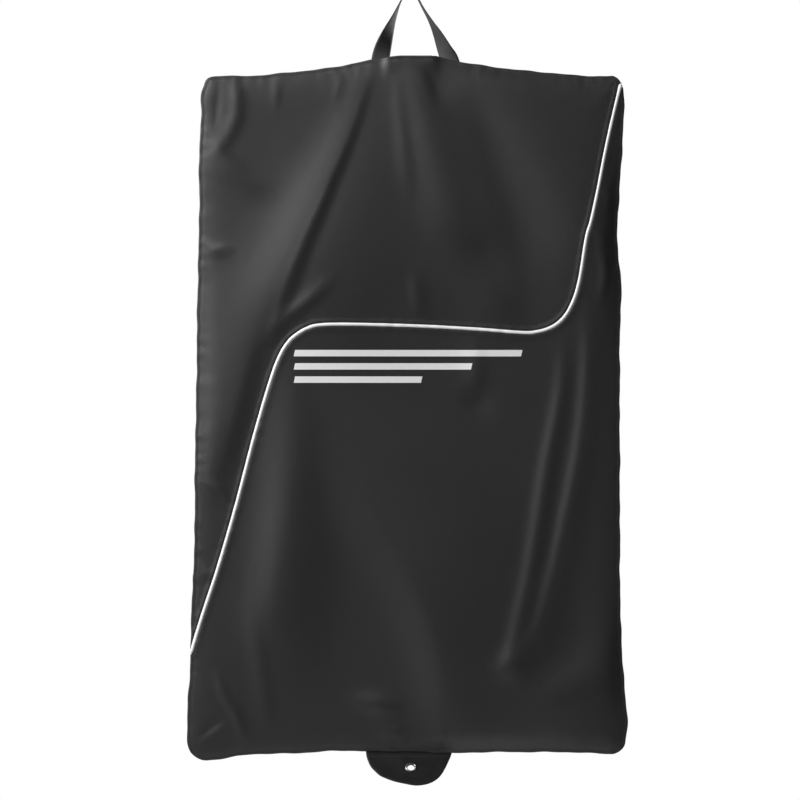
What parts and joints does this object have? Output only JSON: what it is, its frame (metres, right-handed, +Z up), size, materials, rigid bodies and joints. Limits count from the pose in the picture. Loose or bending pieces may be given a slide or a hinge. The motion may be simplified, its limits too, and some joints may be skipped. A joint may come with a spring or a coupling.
{
  "type": "hanging garment bag",
  "caption": "Flat fabric garment bag for sports jerseys that hangs from a webbing loop, folds in half and zips at the back.",
  "frame": {"origin": "inside top of the handle loop, where a hook carries the bag", "axes": "+Z up along the hanging bag; the front faces -Y and the zipped back +Y; +X to the right of someone who faces the front"},
  "size_m": [0.616, 0.0485, 1.1136],
  "materials": {
    "black_polyester": "plain-woven polyester, coated inside, matt with a soft sheen",
    "white_piping": "smooth woven piping over a cord",
    "piping_cord": "twisted cotton filler",
    "black_webbing": "flat polyester webbing",
    "seam_binding": "woven binding tape",
    "white_print": "screen-printed ink film",
    "zip_tape": "knitted zip tape",
    "zip_coil": "nylon coil",
    "zip_metal": "black-painted die-cast zinc",
    "pull_grip": "moulded soft grip",
    "black_vinyl": "vinyl-coated fabric, satin",
    "eyelet_metal": "black oxide on brass, worn bright at the rim"
  },
  "bodies": {
    "handle": {"handle_webbing": "black_webbing"},
    "upper_half": {"front_yoke_above_fold": "black_polyester", "front_body_above_fold": "black_polyester", "piping_cover_above_fold": "white_piping", "piping_core_above_fold": "piping_cord", "back_panel_left_above_fold": "black_polyester", "back_panel_right_above_fold": "black_polyester", "top_seam_left": "seam_binding", "top_seam_right": "seam_binding", "side_seam_left_above_fold": "seam_binding", "side_seam_right_above_fold": "seam_binding", "slot_binding_front": "seam_binding", "slot_binding_back": "seam_binding", "chest_stripes": "white_print", "zip_tape_left_above_fold": "zip_tape", "zip_tape_right_above_fold": "zip_tape", "zip_coil_left_above_fold": "zip_coil", "zip_coil_right_above_fold": "zip_coil", "zip_top_stops": "zip_metal", "handle_end_left": "black_webbing", "handle_end_right": "black_webbing"},
    "lower_half": {"front_yoke_below_fold": "black_polyester", "front_body_below_fold": "black_polyester", "piping_cover_below_fold": "white_piping", "piping_core_below_fold": "piping_cord", "back_panel_left_below_fold": "black_polyester", "back_panel_right_below_fold": "black_polyester", "side_seam_left_below_fold": "seam_binding", "side_seam_right_below_fold": "seam_binding", "bottom_seam": "seam_binding", "zip_tape_left_below_fold": "zip_tape", "zip_tape_right_below_fold": "zip_tape", "zip_coil_left_below_fold": "zip_coil", "zip_coil_right_below_fold": "zip_coil", "zip_bottom_stop": "zip_metal"},
    "tab": {"tab_front_layer": "black_vinyl", "tab_back_layer": "black_vinyl", "eyelet": "eyelet_metal", "eyelet_washer": "eyelet_metal"},
    "zip_slider": {"zip_slider_body": "zip_metal", "zip_slider_bridge": "zip_metal"},
    "zip_pull": {"zip_pull_plate": "zip_metal", "zip_pull_grip": "pull_grip"}
  },
  "joints": [
    {"name": "handle_swing", "type": "hinge", "parent": "handle", "child": "upper_half", "pos_m": [0, 0, -0.0928], "axis": [-1, 0, 0], "range_deg": [-90, 90]},
    {"name": "fold", "type": "hinge", "parent": "upper_half", "child": "lower_half", "pos_m": [0, 0.0112, -0.5815], "axis": [1, 0, 0], "range_deg": [0, 180]},
    {"name": "tab_flex", "type": "hinge", "parent": "lower_half", "child": "tab", "pos_m": [0, 0, -1.0702], "axis": [-1, 0, 0], "range_deg": [-130, 50], "stiffness_Nm_per_rad": 0.02},
    {"name": "zip_slide", "type": "slide", "parent": "upper_half", "child": "zip_slider", "axis": [0, 0, 1], "range_m": [-0.929, 0]},
    {"name": "pull_swing", "type": "hinge", "parent": "zip_slider", "child": "zip_pull", "pos_m": [0, 0.0112, -0.1235], "axis": [-1, 0, 0], "range_deg": [-165, 0]}
  ]
}
